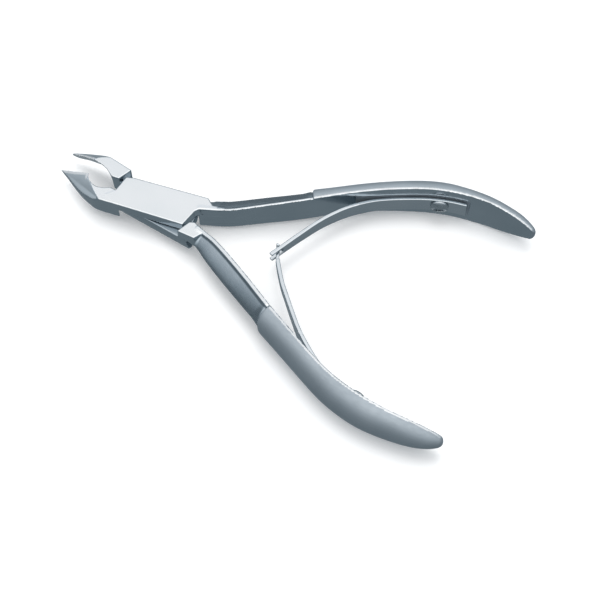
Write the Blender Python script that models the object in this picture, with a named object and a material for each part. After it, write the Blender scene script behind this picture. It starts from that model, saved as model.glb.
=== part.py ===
"""Cuticle nipper: two crossed levers on a screwed lap joint, held open by two hooked leaf springs.

Frame: metres, +Z up. The origin is on the pivot's axis, in the polished front face of the lap joint.
+X runs between the two handles towards their tips, and the jaws point along -X. The front lever has
its handle on the +Y side and its jaw on the -Y side, and the back lever is the other way round.
Everything is at rest, with the springs holding the handles apart.

All dimensions below are in millimetres and are turned into metres where a mesh is made.
"""

import math

import bmesh
import bpy
from mathutils import Matrix, Vector

MM = 0.001
SHARP_ANGLE = math.radians(30.0)

# Lap joint
JOINT_THICKNESS = 4.8
MID_Z = -JOINT_THICKNESS / 2
LAP_GAP = 0.2
FRONT_LAP = (MID_Z + LAP_GAP / 2, 0.0)
BACK_LAP = (-JOINT_THICKNESS, MID_Z - LAP_GAP / 2)
LAP_OVERLAP = 0.4

# The flat outlines of the two laps. The back one is nearly the front one's mirror image.
FRONT_LAP_OUTLINE = [
    (-12.6, -3.6), (-11.2, -1.9), (-10.9, -1.4), (-10.45, 2.9), (-8.6, 3.5), (9.9, 5.5),
    (11.8, 4.0), (14.4, 4.6), (14.4, 3.5), (12.5, 2.85), (9.4, 1.7), (8.75, 0.9), (7.9, -3.7),
    (-9.6, -5.15),
]
BACK_LAP_OUTLINE = [
    (-12.6, 3.6), (-11.7, 2.2), (-10.3, 0.4), (-9.1, -2.3), (-7.7, -3.3), (10.6, -6.4),
    (11.8, -4.6), (14.4, -4.6), (14.4, -3.5), (12.5, -2.85), (9.4, -1.7), (8.75, -0.9), (7.9, 3.7),
    (-9.6, 5.1),
]
# The full-thickness block where a lap turns into its handle, on the +Y side.
HANDLE_BLOCK_OUTLINE = [
    (7.6, 5.8), (9.0, 2.4), (10.2, 1.9), (12.8, 2.8), (14.4, 3.7), (14.0, 5.6), (12.0, 6.0),
]

# Jaws. Each is a full-thickness block with a throat, a sloping ground facet and an undercut inner face.
FRONT_HEEL = (-19.3, 0.35)
FRONT_TIP = (-27.9, 1.0)
FRONT_THROAT = [(-18.9, -0.3), (-17.6, -1.6), (-15.8, -2.3), (-13.9, -2.0), (-12.5, -1.3), (-11.1, -1.35)]
FRONT_JAW_BACK = [(-8.3, -5.04), (-13.9, -5.51), (-16.6, -4.9), (-19.2, -3.9), (-22.0, -2.4), (-25.0, -0.6)]
FRONT_FACET_FOOT = (-14.3, -5.2)
FRONT_UNDERCUT = (-19.3, -1.7)
BACK_HEEL = (-19.4, 4.1)
BACK_TIP = (-27.24, 6.11)
BACK_THROAT = [(-19.0, 3.95), (-17.6, 3.7), (-15.8, 3.0), (-14.6, 2.2), (-13.6, 1.7), (-11.8, 1.8)]
BACK_JAW_BACK = [(-10.3, 5.2), (-16.4, 6.5), (-19.6, 6.95), (-22.9, 6.95), (-25.4, 6.6)]
BACK_FACET_FOOT = (-16.9, 6.4)
BACK_UNDERCUT = (-19.4, 6.8)
EDGE_TIP_Z = -4.2
GRINDER_REACH = 14.0
GRINDER_DEPTH = 12.0
HOLLOW_REACH = 6.0
JAW_CURVE_STEPS = 3

# Handles. Each inner face's outline, drawn on the +Y side, and the section's size along X.
FRONT_HANDLE_LINE = [
    (11.4, 2.5), (14.0, 3.4), (18.0, 5.1), (28.0, 11.4), (40.0, 19.3), (52.0, 25.8), (60.0, 28.8),
    (68.0, 29.9), (75.0, 29.5), (81.8, 28.5),
]
BACK_HANDLE_LINE = [
    (11.4, 2.5), (14.0, 3.4), (18.0, 5.1), (28.0, 10.8), (40.0, 18.15), (52.0, 24.6), (60.0, 27.3),
    (68.0, 28.7), (75.0, 28.9), (81.8, 28.8),
]
HANDLE_START_X = FRONT_HANDLE_LINE[0][0]
HANDLE_END_X = FRONT_HANDLE_LINE[-1][0]
# How far the section rises above the mid-plane and drops below it. The front handle drops by less.
HANDLE_RISE = [
    (11.4, 2.35), (14.0, 2.5), (22.0, 3.25), (34.0, 3.85), (46.0, 4.7), (58.0, 4.7), (68.0, 4.4),
    (74.0, 3.7), (79.0, 2.4), (81.8, 1.3),
]
FRONT_HANDLE_DROP = [
    (11.4, 4.1), (14.0, 4.0), (17.0, 3.65), (22.0, 3.5), (30.0, 3.65), (36.0, 3.4), (42.0, 3.2),
    (48.0, 3.45), (54.0, 4.0), (60.0, 4.3), (68.0, 4.35), (74.0, 3.7), (79.0, 2.4), (81.8, 1.3),
]
HANDLE_DROP = {1: FRONT_HANDLE_DROP, -1: HANDLE_RISE}
HANDLE_THICKNESS = [
    (11.4, 3.2), (14.0, 4.1), (22.0, 4.1), (34.0, 3.7), (46.0, 3.85), (58.0, 3.6), (70.0, 3.7),
    (76.0, 2.8), (79.0, 1.9), (81.8, 1.2),
]
EDGE_FLAT = 0.7
MOST_FLAT_SHARE = 0.4
SECTION_POWER = 2.3
SECTION_STEPS = 6
HANDLE_STATIONS = 30
GRIP_START = 33.5
GRIP_STEP = 0.25
GRIP_RISE = 0.01
TIP_TAPER = 4.0
TIP_ROUND = 0.8
HANDLE_CURVE_STEPS = 12
TANGENT_REACH = 0.3

# Leaf springs
LEAF_WIDTH = 3.9
LEAF_THICKNESS = 0.75
LEAF_TIP_WIDTH = 2.5
LEAF_TIP_THICKNESS = 0.95
LEAF_PROUD = 0.55
LEAF_END_X = 65.0
FOOT_STATIONS = 12
FOOT_GAP = 0.3
SEAT_DEPTH = 0.15
SEAT_CLEARANCE = 1.5
SEAT_RAMP = 3.0
SEAT_START_SHARE = 0.1
SEAT_WIDTH = 5.0
SEAT_END_X = 65.6
SEAT_STATIONS = 14
FRONT_SCREW_X = 58.7
BACK_SCREW_X = 61.3
FRONT_FLEX_X = 47.0
BACK_FLEX_X = 53.0
FRONT_SEAT_START_X = 41.0
BACK_SEAT_START_X = 45.0
FRONT_ARM = [(43.6, 20.3), (39.7, 16.6), (36.0, 11.5), (32.9, 5.5), (30.4, 0.2), (29.4, -1.9)]
BACK_ARM = [
    (50.1, -22.8), (46.0, -19.6), (42.9, -16.7), (40.2, -13.7), (37.5, -10.6), (34.8, -7.4), (31.5, -2.95),
]
FORK_SLOT = 1.5
FORK_LENGTH = 3.0
TONGUE_WIDTH = 0.8
TONGUE_LENGTH = 4.1
HOOK_WIDTH = 2.1
HOOK_LENGTH = 0.6
HOOK_THICKNESS = 0.8 * LEAF_TIP_THICKNESS
ARM_CURVE_STEPS = 5
ARM_CUTTER_THICKNESS = 4.0
TONGUE_ROOT = 0.5

# Screws
PIVOT_SHANK_RADIUS = 1.5
PIVOT_RUNNING_GAP = 0.06
PIVOT_THREAD_GAP = 0.1
PIVOT_DEPTH = 3.9
PIVOT_HEAD_RADIUS = 2.6
PIVOT_HEAD_HEIGHT = 0.95
PIVOT_HEAD_GAP = 0.1
PIVOT_SLOT = (0.6, 0.4)
LEAF_SCREW_HEAD_RADIUS = 2.15
LEAF_SCREW_HEAD_HEIGHT = 1.25
LEAF_SCREW_RIM_HEIGHT = 0.45
LEAF_SCREW_LIFT = 0.12
LEAF_SCREW_SHANK_RADIUS = 0.9
LEAF_SCREW_GAP = 0.15
LEAF_SCREW_DEPTH = 2.2
HOLE_SPARE_DEPTH = 0.3
CUTTER_SPARE = 1.0
HOLE_REACH = 3.0
LEAF_SCREW_SLOT = (0.5, 0.45)
ROUND_STEPS = 40
DOME_STEPS = 5

STEEL = (0.62, 0.66, 0.70, 1.0)
SPRING_STEEL = (0.70, 0.72, 0.74, 1.0)
SCREW_STEEL = (0.55, 0.58, 0.61, 1.0)


def clear_scene():
    for obj in list(bpy.data.objects):
        bpy.data.objects.remove(obj, do_unlink=True)


def make_material(name, color, roughness):
    material = bpy.data.materials.new(name)
    material.use_nodes = True
    shader = material.node_tree.nodes["Principled BSDF"]
    shader.inputs["Base Color"].default_value = color
    shader.inputs["Metallic"].default_value = 1.0
    shader.inputs["Roughness"].default_value = roughness
    return material


def make_object(name, bm, material=None, origin=(0.0, 0.0, 0.0)):
    """An object from a bmesh in millimetres, with its origin at the given point."""
    bmesh.ops.translate(bm, vec=-Vector(origin), verts=bm.verts)
    bmesh.ops.scale(bm, vec=(MM, MM, MM), verts=bm.verts)
    bmesh.ops.recalc_face_normals(bm, faces=bm.faces)
    mesh = bpy.data.meshes.new(name)
    bm.to_mesh(mesh)
    bm.free()
    mesh.shade_smooth()
    mesh.set_sharp_from_angle(angle=SHARP_ANGLE)
    obj = bpy.data.objects.new(name, mesh)
    obj.location = Vector(origin) * MM
    bpy.context.scene.collection.objects.link(obj)
    if material:
        mesh.materials.append(material)
    return obj


def make_helper(name, bm):
    """A shape that a Boolean uses, and that isn't part of the object."""
    helper = make_object(name, bm)
    helper.hide_render = True
    helper.display_type = "WIRE"
    return helper


def combine(target, helper, operation):
    modifier = target.modifiers.new(helper.name, "BOOLEAN")
    modifier.operation = operation
    modifier.solver = "EXACT"
    modifier.object = helper


def flipped(points):
    """The same outline on the other side of the X axis."""
    return [(x, -y) for x, y in points]


def prism(outline, low, high):
    bm = bmesh.new()
    face = bm.faces.new([bm.verts.new((x, y, low)) for x, y in outline])
    raised = bmesh.ops.extrude_face_region(bm, geom=[face])["geom"]
    moved = [item for item in raised if isinstance(item, bmesh.types.BMVert)]
    bmesh.ops.translate(bm, vec=(0, 0, high - low), verts=moved)
    return bm


def cylinder(radius, low, high, place):
    bm = bmesh.new()
    bmesh.ops.create_cone(
        bm, cap_ends=True, segments=ROUND_STEPS, radius1=radius, radius2=radius, depth=high - low
    )
    bmesh.ops.transform(bm, matrix=place @ Matrix.Translation((0, 0, (low + high) / 2)), verts=bm.verts)
    return bm


def loft(rings):
    """A closed body through rings of equal length, with flat ends."""
    bm = bmesh.new()
    loops = [[bm.verts.new(point) for point in ring] for ring in rings]
    for first, second in zip(loops, loops[1:]):
        for i in range(len(first)):
            j = (i + 1) % len(first)
            bm.faces.new((first[i], first[j], second[j], second[i]))
    bm.faces.new(reversed(loops[0]))
    bm.faces.new(loops[-1])
    return bm


def value_at(table, x):
    """Linear between the rows of a table of (x, value), and flat past its ends."""
    if x <= table[0][0]:
        return table[0][1]
    for (x0, v0), (x1, v1) in zip(table, table[1:]):
        if x <= x1:
            return v0 + (v1 - v0) * (x - x0) / (x1 - x0)
    return table[-1][1]


def smooth_curve(points, steps):
    """Points of a Catmull-Rom curve through the given ones, `steps` to each stretch."""
    first = (2 * points[0][0] - points[1][0], 2 * points[0][1] - points[1][1])
    last = (2 * points[-1][0] - points[-2][0], 2 * points[-1][1] - points[-2][1])
    padded = [Vector(p) for p in [first, *points, last]]
    curve = []
    for p0, p1, p2, p3 in zip(padded, padded[1:], padded[2:], padded[3:]):
        for step in range(steps):
            t = step / steps
            curve.append(
                0.5 * (2 * p1 + (p2 - p0) * t + (2 * p0 - 5 * p1 + 4 * p2 - p3) * t**2
                       + (3 * p1 - p0 - 3 * p2 + p3) * t**3)
            )
    curve.append(padded[-2])
    return curve


INNER_CURVES = {
    1: smooth_curve(FRONT_HANDLE_LINE, HANDLE_CURVE_STEPS),
    -1: smooth_curve(BACK_HANDLE_LINE, HANDLE_CURVE_STEPS),
}


def inner_point(x, side):
    """The point of a handle's inner face at x, drawn on the +Y side."""
    curve = INNER_CURVES[side]
    for a, b in zip(curve, curve[1:]):
        if a.x <= x <= b.x:
            return a.lerp(b, (x - a.x) / (b.x - a.x))
    return curve[-1].copy()


def inner_frame(x, side):
    """A point of the inner face at x, and the unit vector out of the face, on the handle's own side."""
    after = inner_point(min(x + TANGENT_REACH, HANDLE_END_X), side)
    before = inner_point(max(x - TANGENT_REACH, HANDLE_START_X), side)
    along = (after - before).normalized()
    point = inner_point(x, side)
    return Vector((point.x, point.y * side)), Vector((along.y, -along.x * side))


def handle_ring(x, side):
    """The D-shaped section at x: flat inside, round outside, with a narrow flat along each edge."""
    point, inward = inner_frame(x, side)
    rise = value_at(HANDLE_RISE, x)
    drop = value_at(HANDLE_DROP[side], x)
    thickness = value_at(HANDLE_THICKNESS, x)
    if x >= GRIP_START:
        proud = GRIP_STEP / 2 * min(1.0, (HANDLE_END_X - x) / TIP_TAPER)
        rise += proud
        drop += proud
        thickness += GRIP_STEP
    flat = min(EDGE_FLAT, thickness * MOST_FLAT_SHARE)
    section = [(0.0, -drop)]
    for step in range(2 * SECTION_STEPS + 1):
        angle = math.pi / 2 * (step / SECTION_STEPS - 1)
        depth = abs(math.cos(angle)) ** (2 / SECTION_POWER)
        height = math.copysign(abs(math.sin(angle)) ** (2 / SECTION_POWER), angle)
        section.append((flat + (thickness - flat) * depth, height * (rise if height > 0 else drop)))
    section.append((0.0, rise))
    places = [(point - inward * depth, height) for depth, height in section]
    return [(place.x, place.y, MID_Z + height) for place, height in places]


def handle_body(side):
    length = HANDLE_END_X - HANDLE_START_X
    stations = [HANDLE_START_X + length * i / HANDLE_STATIONS for i in range(HANDLE_STATIONS + 1)]
    stations += [GRIP_START - GRIP_RISE, GRIP_START, HANDLE_END_X - TIP_ROUND]
    return loft([handle_ring(x, side) for x in sorted(stations)])


def plane_cutter(a, b, c, away, reach):
    """A slab with one face in the plane of three points, on the side of `away`."""
    a, b, c, away = Vector(a), Vector(b), Vector(c), Vector(away)
    normal = (b - a).cross(c - a).normalized()
    if normal.dot(away) < 0:
        normal = -normal
    along = (b - a).normalized()
    across = normal.cross(along)
    middle = (a + b + c) / 3
    corners = [
        (-reach, -GRINDER_REACH), (GRINDER_REACH, -GRINDER_REACH),
        (GRINDER_REACH, GRINDER_REACH), (-reach, GRINDER_REACH),
    ]
    rings = []
    for lift in (0.0, GRINDER_DEPTH):
        rings.append([middle + along * u + across * v + normal * lift for u, v in corners])
    return loft(rings)


def add_jaw(lever, name, heel, tip, throat, back, facet_foot, undercut, facet_side):
    """Joins the jaw's block to the lever, after grinding its facet and its undercut."""
    outline = [tip, *smooth_curve([heel, *throat], JAW_CURVE_STEPS), *back]
    jaw = make_helper(name + "_block", prism(outline, -JOINT_THICKNESS, 0.0))
    heel_point = (*heel, 0.0)
    tip_point = (*tip, EDGE_TIP_Z)
    facet = plane_cutter(heel_point, tip_point, (*facet_foot, 0.0), (0, 0, 1), GRINDER_REACH)
    combine(jaw, make_helper(name + "_facet_cut", facet), "DIFFERENCE")
    low_point = (*undercut, -JOINT_THICKNESS)
    hollow = plane_cutter(heel_point, tip_point, low_point, (0, facet_side, -0.2), HOLLOW_REACH)
    combine(jaw, make_helper(name + "_hollow_cut", hollow), "DIFFERENCE")
    combine(lever, jaw, "UNION")


def seat_cutter(start_x, side):
    """The shallow channel in a handle's inner face that a leaf spring lies in."""
    rings = []
    half = SEAT_WIDTH / 2
    for i in range(SEAT_STATIONS + 1):
        x = start_x + (SEAT_END_X - start_x) * i / SEAT_STATIONS
        point, inward = inner_frame(x, side)
        depth = SEAT_DEPTH * min(1.0, (x - start_x) / SEAT_RAMP + SEAT_START_SHARE)
        near, far = point + inward * SEAT_CLEARANCE, point - inward * depth
        ring = [(far, -half), (far, half), (near, half), (near, -half)]
        rings.append([(place.x, place.y, MID_Z + height) for place, height in ring])
    return loft(rings)


def screw_place(side):
    """The leaf screw's frame: origin in the inner face, +Z out of the face."""
    point, inward = inner_frame(FRONT_SCREW_X if side > 0 else BACK_SCREW_X, side)
    out = inward.to_3d()
    along = Vector((-out.y, out.x, 0))
    axes = Matrix((along, out.cross(along), out)).transposed().to_4x4()
    return Matrix.Translation((point.x, point.y, MID_Z)) @ axes


def make_lever(name, material, side, lap_outline, lap_heights, block_heights, jaw, seat_start):
    lever = make_object(name, handle_body(side), material)
    block = HANDLE_BLOCK_OUTLINE if side > 0 else flipped(HANDLE_BLOCK_OUTLINE)
    combine(lever, make_helper(name + "_handle_block", prism(block, *block_heights)), "UNION")
    combine(lever, make_helper(name + "_lap", prism(lap_outline, *lap_heights)), "UNION")
    add_jaw(lever, name + "_jaw", *jaw)
    combine(lever, make_helper(name + "_seat_cut", seat_cutter(seat_start, side)), "DIFFERENCE")
    hole_bottom = -LEAF_SCREW_DEPTH - HOLE_SPARE_DEPTH
    hole = cylinder(LEAF_SCREW_SHANK_RADIUS + LEAF_SCREW_GAP, hole_bottom, HOLE_REACH, screw_place(side))
    combine(lever, make_helper(name + "_leaf_screw_hole", hole), "DIFFERENCE")
    return lever


def make_levers(material):
    front_jaw = (FRONT_HEEL, FRONT_TIP, FRONT_THROAT, FRONT_JAW_BACK, FRONT_FACET_FOOT, FRONT_UNDERCUT, 1)
    back_jaw = (BACK_HEEL, BACK_TIP, BACK_THROAT, BACK_JAW_BACK, BACK_FACET_FOOT, BACK_UNDERCUT, -1)
    under = (-JOINT_THICKNESS, FRONT_LAP[0] + LAP_OVERLAP)
    over = (BACK_LAP[1] - LAP_OVERLAP, 0.0)
    front = make_lever(
        "front_lever", material, 1, FRONT_LAP_OUTLINE, FRONT_LAP, under, front_jaw, FRONT_SEAT_START_X
    )
    back = make_lever(
        "back_lever", material, -1, BACK_LAP_OUTLINE, BACK_LAP, over, back_jaw, BACK_SEAT_START_X
    )
    upright = Matrix.Identity(4)
    blind_top = PIVOT_DEPTH + PIVOT_THREAD_GAP - JOINT_THICKNESS
    blind = cylinder(PIVOT_SHANK_RADIUS + PIVOT_THREAD_GAP, -JOINT_THICKNESS, blind_top, upright)
    combine(front, make_helper("pivot_blind_hole", blind), "DIFFERENCE")
    bore = cylinder(PIVOT_SHANK_RADIUS + PIVOT_RUNNING_GAP, -JOINT_THICKNESS - CUTTER_SPARE, 0.0, upright)
    combine(back, make_helper("pivot_bore", bore), "DIFFERENCE")
    sink_top = PIVOT_HEAD_HEIGHT + PIVOT_HEAD_GAP - JOINT_THICKNESS
    sink = cylinder(PIVOT_HEAD_RADIUS + PIVOT_HEAD_GAP, -JOINT_THICKNESS - CUTTER_SPARE, sink_top, upright)
    combine(back, make_helper("pivot_head_sink", sink), "DIFFERENCE")


def slot_cutter(size, length, face, place):
    """A box that cuts a driver slot of (width, depth) into a head whose top is at `face`."""
    width, depth = size
    bm = bmesh.new()
    matrix = place @ Matrix.Translation((0, 0, face)) @ Matrix.Diagonal((length, width, 2 * depth, 1))
    bmesh.ops.create_cube(bm, size=1.0, matrix=matrix)
    return bm


def make_pivot_screw(material):
    """It enters from the back, turns freely in the back lever and is threaded into the front one."""
    down = Matrix.Translation((0, 0, -JOINT_THICKNESS)) @ Matrix.Rotation(math.pi, 4, "X")
    profile = [
        (PIVOT_HEAD_RADIUS, 0.0), (PIVOT_HEAD_RADIUS, PIVOT_HEAD_HEIGHT),
        (PIVOT_SHANK_RADIUS, PIVOT_HEAD_HEIGHT), (PIVOT_SHANK_RADIUS, PIVOT_DEPTH),
    ]
    screw = make_object("pivot_screw", turned(profile, down), material)
    slot = slot_cutter(PIVOT_SLOT, 4 * PIVOT_HEAD_RADIUS, 0.0, down)
    combine(screw, make_helper("pivot_screw_slot", slot), "DIFFERENCE")


def turned(profile, place):
    """A turned body from (radius, depth below the face) rows, closed on its axis."""
    rings = []
    for radius, depth in profile:
        ring = []
        for step in range(ROUND_STEPS):
            angle = 2 * math.pi * step / ROUND_STEPS
            ring.append(place @ Vector((radius * math.cos(angle), radius * math.sin(angle), -depth)))
        rings.append(ring)
    return loft(rings)


def make_leaf_screw(name, material, side):
    """Domed slotted screw that clamps a leaf's foot to its handle."""
    place = screw_place(side)
    seat = LEAF_PROUD + LEAF_THICKNESS / 2 + LEAF_SCREW_LIFT
    rise = LEAF_SCREW_HEAD_HEIGHT - LEAF_SCREW_RIM_HEIGHT
    dome = []
    for step in range(DOME_STEPS):
        angle = math.pi / 2 * step / DOME_STEPS
        radius = LEAF_SCREW_HEAD_RADIUS * math.cos(angle)
        dome.append((radius, -seat - LEAF_SCREW_RIM_HEIGHT - rise * math.sin(angle)))
    profile = [
        *reversed(dome), (LEAF_SCREW_HEAD_RADIUS, -seat), (LEAF_SCREW_SHANK_RADIUS, -seat),
        (LEAF_SCREW_SHANK_RADIUS, LEAF_SCREW_DEPTH),
    ]
    screw = make_object(name, turned(profile, place), material)
    slot = slot_cutter(LEAF_SCREW_SLOT, 3 * LEAF_SCREW_HEAD_RADIUS, seat + LEAF_SCREW_HEAD_HEIGHT, place)
    combine(screw, make_helper(name + "_slot", slot), "DIFFERENCE")


def strip(path, sizes):
    """A strip that stands on edge along a path, with its (thickness, width) at each point."""
    rings = []
    for i, (point, (thickness, width)) in enumerate(zip(path, sizes)):
        before, after = path[max(i - 1, 0)], path[min(i + 1, len(path) - 1)]
        along = (after - before).normalized()
        across = Vector((-along.y, along.x)) * thickness / 2
        ends = [(point - across, -width / 2), (point + across, -width / 2),
                (point + across, width / 2), (point - across, width / 2)]
        rings.append([(place.x, place.y, MID_Z + height) for place, height in ends])
    return loft(rings)


def foot_path(flex_x, side):
    """The leaf's centre line from its end to where it leaves the handle."""
    path = []
    for i in range(FOOT_STATIONS + 1):
        x = LEAF_END_X + (flex_x - LEAF_END_X) * i / FOOT_STATIONS
        point, inward = inner_frame(x, side)
        path.append(point + inward * LEAF_PROUD)
    return path


def make_foot(name, material, flex_x, side):
    path = foot_path(flex_x, side)
    foot = make_object(name, strip(path, [(LEAF_THICKNESS, LEAF_WIDTH)] * len(path)), material)
    hole = cylinder(LEAF_SCREW_SHANK_RADIUS + LEAF_SCREW_GAP, -HOLE_REACH, HOLE_REACH, screw_place(side))
    combine(foot, make_helper(name + "_hole", hole), "DIFFERENCE")


def arm_path(points, flex_x, side):
    """The free part of a leaf, from just past its foot to its tip."""
    root = foot_path(flex_x, side)[-1]
    path = smooth_curve([tuple(root), *points], ARM_CURVE_STEPS)
    path[0] += (path[1] - path[0]).normalized() * FOOT_GAP
    return path


def flex_origin(flex_x, side):
    """The point that a leaf's free arm bends about."""
    root = foot_path(flex_x, side)[-1]
    return (root.x, root.y, MID_Z)


def arm_sizes(path):
    sizes = []
    for i in range(len(path)):
        share = i / (len(path) - 1)
        sizes.append((
            LEAF_THICKNESS + (LEAF_TIP_THICKNESS - LEAF_THICKNESS) * share,
            LEAF_WIDTH + (LEAF_TIP_WIDTH - LEAF_WIDTH) * share,
        ))
    return sizes


def end_box(path, start, length, width, thickness):
    """A straight bar that goes on from the end of a path, from `start` past it."""
    along = (path[-1] - path[-2]).normalized()
    ends = [path[-1] + along * start, path[-1] + along * (start + length)]
    return strip(ends, [(thickness, width)] * 2)


def make_fork_arm(material):
    path = arm_path(FRONT_ARM, FRONT_FLEX_X, 1)
    origin = flex_origin(FRONT_FLEX_X, 1)
    arm = make_object("front_leaf_arm", strip(path, arm_sizes(path)), material, origin)
    slot = end_box(path, -FORK_LENGTH, FORK_LENGTH + CUTTER_SPARE, FORK_SLOT, ARM_CUTTER_THICKNESS)
    combine(arm, make_helper("front_leaf_fork_slot", slot), "DIFFERENCE")


def make_hook_arm(material):
    path = arm_path(BACK_ARM, BACK_FLEX_X, -1)
    origin = flex_origin(BACK_FLEX_X, -1)
    arm = make_object("back_leaf_arm", strip(path, arm_sizes(path)), material, origin)
    tongue = end_box(path, -TONGUE_ROOT, TONGUE_LENGTH + HOOK_LENGTH, TONGUE_WIDTH, HOOK_THICKNESS)
    combine(arm, make_helper("back_leaf_tongue", tongue), "UNION")
    hook = end_box(path, TONGUE_LENGTH, HOOK_LENGTH, HOOK_WIDTH, HOOK_THICKNESS)
    combine(arm, make_helper("back_leaf_hook", hook), "UNION")


def main():
    clear_scene()
    lever_steel = make_material("lever_steel", STEEL, 0.25)
    spring_steel = make_material("spring_steel", SPRING_STEEL, 0.2)
    screw_steel = make_material("screw_steel", SCREW_STEEL, 0.3)
    make_levers(lever_steel)
    make_pivot_screw(screw_steel)
    make_foot("front_leaf_foot", spring_steel, FRONT_FLEX_X, 1)
    make_foot("back_leaf_foot", spring_steel, BACK_FLEX_X, -1)
    make_fork_arm(spring_steel)
    make_hook_arm(spring_steel)
    make_leaf_screw("front_leaf_screw", screw_steel, 1)
    make_leaf_screw("back_leaf_screw", screw_steel, -1)


main()
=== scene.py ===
"""Looks of the cuticle nipper. Each steel piece is one surface, meshed from a distance field.

A field is a function of points in millimetres, in the CAD model's frame: below zero inside the metal and
above zero outside it. The pieces are turned into metres when their meshes are made.
"""

import math

import bpy
import numpy as np
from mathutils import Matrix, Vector


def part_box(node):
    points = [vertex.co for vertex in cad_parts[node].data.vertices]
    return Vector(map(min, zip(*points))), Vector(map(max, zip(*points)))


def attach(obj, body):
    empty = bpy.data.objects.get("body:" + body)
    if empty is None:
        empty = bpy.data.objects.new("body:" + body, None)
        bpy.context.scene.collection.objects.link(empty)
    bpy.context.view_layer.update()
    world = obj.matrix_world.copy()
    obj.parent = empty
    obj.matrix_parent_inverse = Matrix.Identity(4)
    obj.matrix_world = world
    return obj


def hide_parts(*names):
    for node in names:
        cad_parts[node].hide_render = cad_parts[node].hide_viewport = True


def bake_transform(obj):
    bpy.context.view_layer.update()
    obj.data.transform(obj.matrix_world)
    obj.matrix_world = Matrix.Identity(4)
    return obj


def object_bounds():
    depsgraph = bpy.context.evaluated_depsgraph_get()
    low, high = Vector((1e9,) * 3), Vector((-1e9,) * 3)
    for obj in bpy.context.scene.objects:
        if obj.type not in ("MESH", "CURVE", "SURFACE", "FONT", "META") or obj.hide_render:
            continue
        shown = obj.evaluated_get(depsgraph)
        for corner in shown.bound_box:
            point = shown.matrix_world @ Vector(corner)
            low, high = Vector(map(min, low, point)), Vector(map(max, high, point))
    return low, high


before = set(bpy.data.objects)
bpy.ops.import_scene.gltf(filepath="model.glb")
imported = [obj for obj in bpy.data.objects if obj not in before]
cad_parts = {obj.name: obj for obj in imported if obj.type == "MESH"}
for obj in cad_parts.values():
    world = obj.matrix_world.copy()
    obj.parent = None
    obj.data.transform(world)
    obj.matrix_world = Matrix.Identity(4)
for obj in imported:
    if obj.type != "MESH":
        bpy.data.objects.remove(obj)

CAD_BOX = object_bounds()
MM = 0.001
FAR = 9.0

# Mesh step of each kind of piece
LEVER_STEP = 0.2
LEAF_STEP = 0.14
SCREW_STEP = 0.08
# How far past its CAD box each kind of piece is meshed. The end of the back leaf's cross head lies on this
# limit and is left open there, which a leaf margin of about 1 should close.
LEVER_MARGIN = 0.6
LEAF_MARGIN = 0.5
SCREW_MARGIN = 0.4
SHARP_ANGLE = 50

# Lap joint
JOINT_THICKNESS = 4.8
MID_Z = -JOINT_THICKNESS / 2
LAP_GAP = 0.2
LAP_OVERLAP = 0.4
RIM = 0.22
FILLET = 0.35
LEDGE_ROUND = 0.15
JAW_FILLET = 0.15
SMALL_ROUND = 0.05
SHARP = 0.01
JAW_END_X = -6.5
HANDLE_START_X = 6.0

LEVERS = {
    "front": {
        "side": 1,
        "lap": [
            (-12.6, -3.6), (-11.2, -1.9), (-10.9, -1.4), (-10.45, 2.9), (-8.6, 3.5), (9.9, 5.5),
            (11.8, 4.0), (14.4, 4.6), (14.4, 3.5), (12.5, 2.85), (9.4, 1.7), (8.75, 0.9), (7.9, -3.7),
            (-9.6, -5.15),
        ],
        "lap_z": (MID_Z + LAP_GAP / 2, 0.0),
        "block_z": (-JOINT_THICKNESS, MID_Z + LAP_GAP / 2 + LAP_OVERLAP),
        "heel": (-18.95, 0.4),
        "tip": (-27.9, 1.0),
        "throat": [(-18.7, -0.3), (-17.6, -1.6), (-15.8, -2.3), (-13.9, -2.0), (-12.5, -1.3), (-11.1, -1.35)],
        "back": [(-8.3, -5.04), (-13.9, -5.51), (-16.6, -4.9), (-19.2, -3.9), (-22.0, -2.4), (-25.0, -0.6)],
        "facet_foot": (-13.1, -5.4),
        "crown": 0.36,
        "lean": 0.43,
        "lean_end": 1.0,
        "line": [
            (11.4, 2.5), (14.0, 3.4), (18.0, 5.1), (28.0, 11.4), (40.0, 19.3), (52.0, 25.8), (60.0, 28.8),
            (68.0, 29.9), (75.0, 29.5), (81.8, 28.5),
        ],
        "grip_x": 33.8,
        "root": 2.45,
        "seat_x": 41.0,
        "screw_x": 58.7,
    },
    "back": {
        "side": -1,
        "lap": [
            (-12.6, 3.6), (-11.7, 2.2), (-10.3, 0.4), (-9.2, -2.4), (-8.8, -3.55), (10.6, -6.4),
            (11.8, -4.6), (14.4, -4.6), (14.4, -3.5), (12.5, -2.85), (10.6, -1.2), (9.7, -0.45), (9.0, -0.15),
            (8.8, 0.75), (8.7, 1.6), (8.3, 3.2), (7.9, 3.7), (-9.6, 5.1),
        ],
        "lap_z": (-JOINT_THICKNESS, MID_Z - LAP_GAP / 2),
        "block_z": (MID_Z - LAP_GAP / 2 - LAP_OVERLAP, 0.0),
        "heel": (-19.8, 4.15),
        "tip": (-27.85, 6.2),
        "throat": [(-19.3, 4.05), (-17.6, 3.7), (-15.8, 3.0), (-14.6, 2.2), (-13.6, 1.7), (-11.8, 1.8)],
        "back": [(-10.3, 5.2), (-16.4, 6.5), (-19.6, 6.95), (-22.9, 6.95), (-25.4, 6.8), (-27.5, 6.6)],
        "facet_foot": (-16.9, 6.4),
        "crown": 0.28,
        "lean": 0.545,
        "lean_end": 4.5,
        "line": [
            (11.4, 2.5), (14.0, 3.4), (18.0, 5.1), (28.0, 10.8), (40.0, 18.15), (52.0, 24.6), (60.0, 27.3),
            (68.0, 28.6), (75.0, 28.6), (81.8, 28.2),
        ],
        "grip_x": 37.3,
        "root": 0.0,
        "seat_x": 45.0,
        "screw_x": 61.3,
    },
}
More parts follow.
